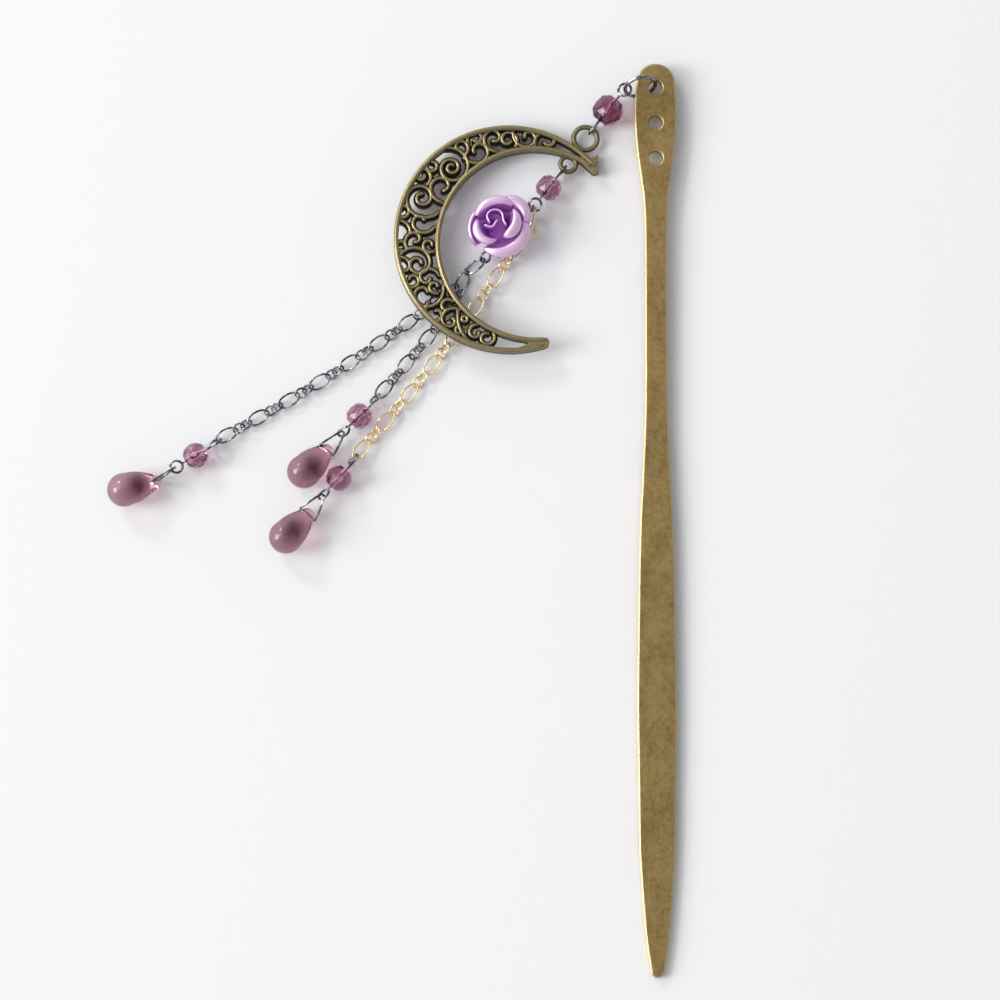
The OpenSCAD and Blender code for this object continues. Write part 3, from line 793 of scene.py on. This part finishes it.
def add_heart(setting, material):
    """The two strips at the heart of the rose."""
    bm = bmesh.new()
    add_strip(bm, HEART_FRONT)
    add_strip(bm, HEART_BACK)
    placed_petals(bm, "rose_heart", material, None, setting.thickness * HEART_WALLS)


def add_cup(material):
    """The bowl-shaped cup under the petals."""
    bm = bmesh.new()
    verts, edges = add_line_of_edges(bm, [(radius, 0, height) for radius, height in CUP])
    bmesh.ops.spin(
        bm, geom=verts + edges, cent=(0, 0, 0), axis=(0, 0, 1), angle=2 * math.pi,
        steps=CUP_STEPS, use_merge=True,
    )
    bmesh.ops.remove_doubles(bm, verts=bm.verts, dist=MERGE_GAP / MM)
    bmesh.ops.recalc_face_normals(bm, faces=bm.faces)
    set_in_place(bm)
    piece_from(bm, "rose_cup", material)


# Small cut beads, which share one glass
BEADS = ("moon_bead", "end_bead_1", "end_bead_2", "end_bead_3")
# Middle of the painted shade on the dark side of the top bead
TOP_BEAD_PAINTED_SHADE = Vector((31.7, 62.5, 2.5)) * MM
# Facets that meet at less than the first angle are one facet, and at less than the second stay sharp
ONE_FACET = math.radians(1)
SHARP_FACET = math.radians(12)
# Drops. columns: node, then where the painted shade in the glass is centred: x, y, height over the table
DROPS = (
    ("glass_drop_1", -39.1, 3.9, 4),
    ("glass_drop_2", -12.2, 6.5, 4),
    ("glass_drop_3", -15.2, -3.3, 4),
)
# Roughness of cut and of smooth glass
CUT_ROUGHNESS = 0.02
DROP_ROUGHNESS = 0.01
# Wires that are round in the CAD
SMOOTH_WIRES = ("top_bead_pin", "moon_bead_pin", "rose_pin", "end_pin_1", "end_pin_2", "end_pin_3")
# Six-sided wires. columns: node, rounded piece, and the piece of its exact rings if it has any
COARSE_WIRES = (
    ("rose_link", "first_link", None),
    ("yoke_link", "second_link", None),
    ("long_dark_chain", "long_dark_links", "long_dark_rings"),
    ("short_dark_chain", "short_dark_links", "short_dark_rings"),
    ("drop_bail_1", "drop_wire_1", None),
    ("drop_bail_2", "drop_wire_2", None),
    ("drop_bail_3", "drop_wire_3", None),
)


def add_bead(node, material, softness):
    """A cut bead whose facets meet in softly fired edges."""
    bm = merged_copy(node)
    bmesh.ops.dissolve_limit(bm, angle_limit=ONE_FACET, verts=bm.verts, edges=bm.edges)
    piece = piece_from(bm, "cut_" + node, material, node, smooth=False)
    edge = piece.modifiers.new("Fired edges", "BEVEL")
    edge.width = softness
    edge.segments = 2
    edge.limit_method = "ANGLE"
    edge.angle_limit = SHARP_FACET


class HAIRSTICK_OT_stick(bpy.types.Operator):
    """Give the stick its aged brass"""

    bl_idname = "hairstick.stick"
    bl_label = "Stick"

    def execute(self, context):
        dress(node_object("hair_stick"), stick_brass(context.scene.stick_finish))
        return {"FINISHED"}


class HAIRSTICK_OT_crescent(bpy.types.Operator):
    """Give the crescent its rubbed bronze and its rounded scroll lines"""

    bl_idname = "hairstick.crescent"
    bl_label = "Crescent"

    def execute(self, context):
        setting = context.scene.crescent_finish
        bronze = crescent_bronze(setting)
        dress(node_object("crescent_moon"), bronze)
        add_scrolls(setting, bronze)
        return {"FINISHED"}


class HAIRSTICK_OT_wires(bpy.types.Operator):
    """Make the pins, rings, bails and chains"""

    bl_idname = "hairstick.wires"
    bl_label = "Wires and chains"

    def execute(self, context):
        setting = context.scene.wire_finish
        dark = nickel_wire("black_nickel", setting.dark, setting.dark_wear_and_highlight)
        bright = nickel_wire("bright_nickel", setting.bright, setting.bright_wear_and_highlight)
        dress(node_object("stick_ring"), bright)
        for node in SMOOTH_WIRES:
            dress(node_object(node), dark)
        for node, name, ring_name in COARSE_WIRES:
            round_wire(node, name, dark, setting.swell, ring_name)
        gold = gold_wire(setting)
        round_wire("gold_chain", "gold_links", gold, setting.swell, "gold_rings")
        return {"FINISHED"}


class HAIRSTICK_OT_rose(bpy.types.Operator):
    """Make the metal rose"""

    bl_idname = "hairstick.rose"
    bl_label = "Rose"

    def execute(self, context):
        setting = context.scene.rose_shape
        enamel = rose_enamel(setting)
        add_petals(setting, enamel)
        add_heart(setting, enamel)
        add_cup(enamel)
        return {"FINISHED"}


class HAIRSTICK_OT_glass(bpy.types.Operator):
    """Make the cut beads and the smooth drops"""

    bl_idname = "hairstick.glass"
    bl_label = "Beads and drops"

    def execute(self, context):
        setting = context.scene.glass_finish
        # The top bead's glass has painted shade on one side
        deep = violet_glass(
            "deep_violet_glass", setting.tint, setting.bead, setting.top_depth, CUT_ROUGHNESS,
            setting.shadow, TOP_BEAD_PAINTED_SHADE,
        )
        add_bead("top_bead", deep, setting.facet_round)
        cut = violet_glass(
            "cut_violet_glass", setting.tint, setting.bead, setting.bead_depth, CUT_ROUGHNESS
        )
        for node in BEADS:
            add_bead(node, cut, setting.facet_round)
        for node, *painted_shade_at in DROPS:
            smooth = violet_glass(
                "smooth_" + node, setting.tint, setting.drop, setting.drop_depth, DROP_ROUGHNESS,
                setting.streak, Vector(painted_shade_at) * MM,
            )
            dress(node_object(node), smooth)
        return {"FINISHED"}


# Lamps. columns: name, width, height and distance in metres, turn from +X and elevation in degrees, how
# bright its surface is
LAMPS = (
    ("key_panel", 1.05, 1.05, 2, 168, 50, 2.5),
    ("window_tall", 0.9, 0.84, 2, 186, 29, 9.6),
    ("window_small", 0.42, 0.34, 2, 128, 32, 16),
)
# What the lamps face, on the table
LAMP_AIM = Vector((0, 20, 0)) * MM
SKY_TINT = (0.992, 0.994, 1, 1)
BRIGHT_SIDE = (-0.9, 0.2, 0.38)


def direction(turn, elevation):
    """A direction from its turn from +X and its elevation, in degrees."""
    turned, lifted = math.radians(turn), math.radians(elevation)
    flat = math.cos(lifted)
    return Vector((math.cos(turned) * flat, math.sin(turned) * flat, math.sin(lifted)))


def add_lamp(name, width, height, distance, turn, elevation, brightness):
    """A soft panel that faces the object."""
    lamp = bpy.data.lights.new(name, "AREA")
    lamp.shape = "RECTANGLE"
    lamp.size = width
    lamp.size_y = height
    lamp.energy = brightness * math.pi * width * height
    holder = bpy.data.objects.new(name, lamp)
    bpy.context.scene.collection.objects.link(holder)
    way = direction(turn, elevation)
    holder.location = LAMP_AIM + way * distance
    holder.rotation_euler = way.to_track_quat("Z", "Y").to_euler()


def add_sky():
    """A soft room, brighter low down and on the left than overhead and on the right."""
    world = bpy.data.worlds.new("soft_room")
    bpy.context.scene.world = world
    world.use_nodes = True
    room = Recipe(world.node_tree, "Generated")
    left = room.along(room.place, BRIGHT_SIDE).between(-0.3, 0.95)
    low = 1 - room.along(room.place, (0, 0, 1)).between(0.15, 0.9)
    strength = 0.28 + left * 0.3 + low * 0.3
    sky = room.node("ShaderNodeBackground", None, {"Color": SKY_TINT, "Strength": strength})
    end = room.node("ShaderNodeOutputWorld")
    room.tree.links.new(sky.outputs[0], end.inputs["Surface"])


# The paper floor: half its width in metres, and how far it lies below the table's height
FLOOR_REACH = 1.5
FLOOR_DEPTH = 0.01 * MM
# What the camera aims at, on the table
VIEW_TARGET = Vector((16.85, 2.15, 0)) * MM
SENSOR_WIDTH = 36


def add_floor(setting):
    """A sheet of matt paper under the object."""
    bm = bmesh.new()
    bmesh.ops.create_grid(bm, x_segments=1, y_segments=1, size=FLOOR_REACH)
    bmesh.ops.translate(bm, verts=bm.verts, vec=(0, 0, -FLOOR_DEPTH))
    floor = object_from(bm, "paper_floor")
    paper = Finish("matt_paper")
    shade = paper.mix(paper.noise(300, 3, 0.6) * 0.04, setting.floor, setting.fleck)
    dress(floor, paper.surface(shade, 0.0, 0.9))


def add_camera(setting):
    """The photograph's view from above, with a slight tilt."""
    lens = bpy.data.cameras.new("photo_view")
    lens.lens = setting.lens
    lens.sensor_width = SENSOR_WIDTH
    lens.clip_start = 10 * MM
    camera = bpy.data.objects.new("photo_view", lens)
    bpy.context.scene.collection.objects.link(camera)
    tilt = math.pi / 2 - setting.elevation
    camera.location = VIEW_TARGET + Vector((0, -math.sin(tilt), math.cos(tilt))) * setting.distance
    camera.rotation_euler = (tilt, 0, 0)
    bpy.context.scene.camera = camera


class HAIRSTICK_OT_stage(bpy.types.Operator):
    """Lay the pale floor, and set the lamps and the camera"""

    bl_idname = "hairstick.stage"
    bl_label = "Stage"

    def execute(self, context):
        setting = context.scene.stage_setting
        add_floor(setting)
        for row in LAMPS:
            add_lamp(*row)
        add_sky()
        add_camera(setting)
        context.scene.view_settings.view_transform = "Standard"
        return {"FINISHED"}


OPERATORS = (
    HAIRSTICK_OT_stick,
    HAIRSTICK_OT_crescent,
    HAIRSTICK_OT_wires,
    HAIRSTICK_OT_rose,
    HAIRSTICK_OT_glass,
    HAIRSTICK_OT_stage,
)
GROUPS = (
    ("stick_finish", StickFinish),
    ("crescent_finish", CrescentFinish),
    ("wire_finish", WireFinish),
    ("rose_shape", RoseShape),
    ("glass_finish", GlassFinish),
    ("stage_setting", StageSetting),
)


class HAIRSTICK_PT_panel(bpy.types.Panel):
    """Lists the pieces and their settings"""

    bl_label = "Hair Stick"
    bl_idname = "HAIRSTICK_PT_panel"
    bl_space_type = "VIEW_3D"
    bl_region_type = "UI"
    bl_category = "Hair Stick"

    def draw(self, context):
        for operator, (name, group) in zip(OPERATORS, GROUPS):
            box = self.layout.box()
            box.operator(operator.bl_idname)
            for key in group.__annotations__:
                box.prop(getattr(context.scene, name), key)


def register():
    """Registers the settings, the operators and the panel."""
    for name, group in GROUPS:
        bpy.utils.register_class(group)
        setattr(bpy.types.Scene, name, bpy.props.PointerProperty(type=group))
    for each in (*OPERATORS, HAIRSTICK_PT_panel):
        bpy.utils.register_class(each)


def unregister():
    """Takes back all that register adds."""
    for each in (HAIRSTICK_PT_panel, *reversed(OPERATORS)):
        bpy.utils.unregister_class(each)
    for name, group in reversed(GROUPS):
        delattr(bpy.types.Scene, name)
        bpy.utils.unregister_class(group)


def main():
    """Makes every piece in order."""
    register()
    for operator in OPERATORS:
        group, action = operator.bl_idname.split(".")
        getattr(getattr(bpy.ops, group), action)()


if __name__ == "__main__":
    main()
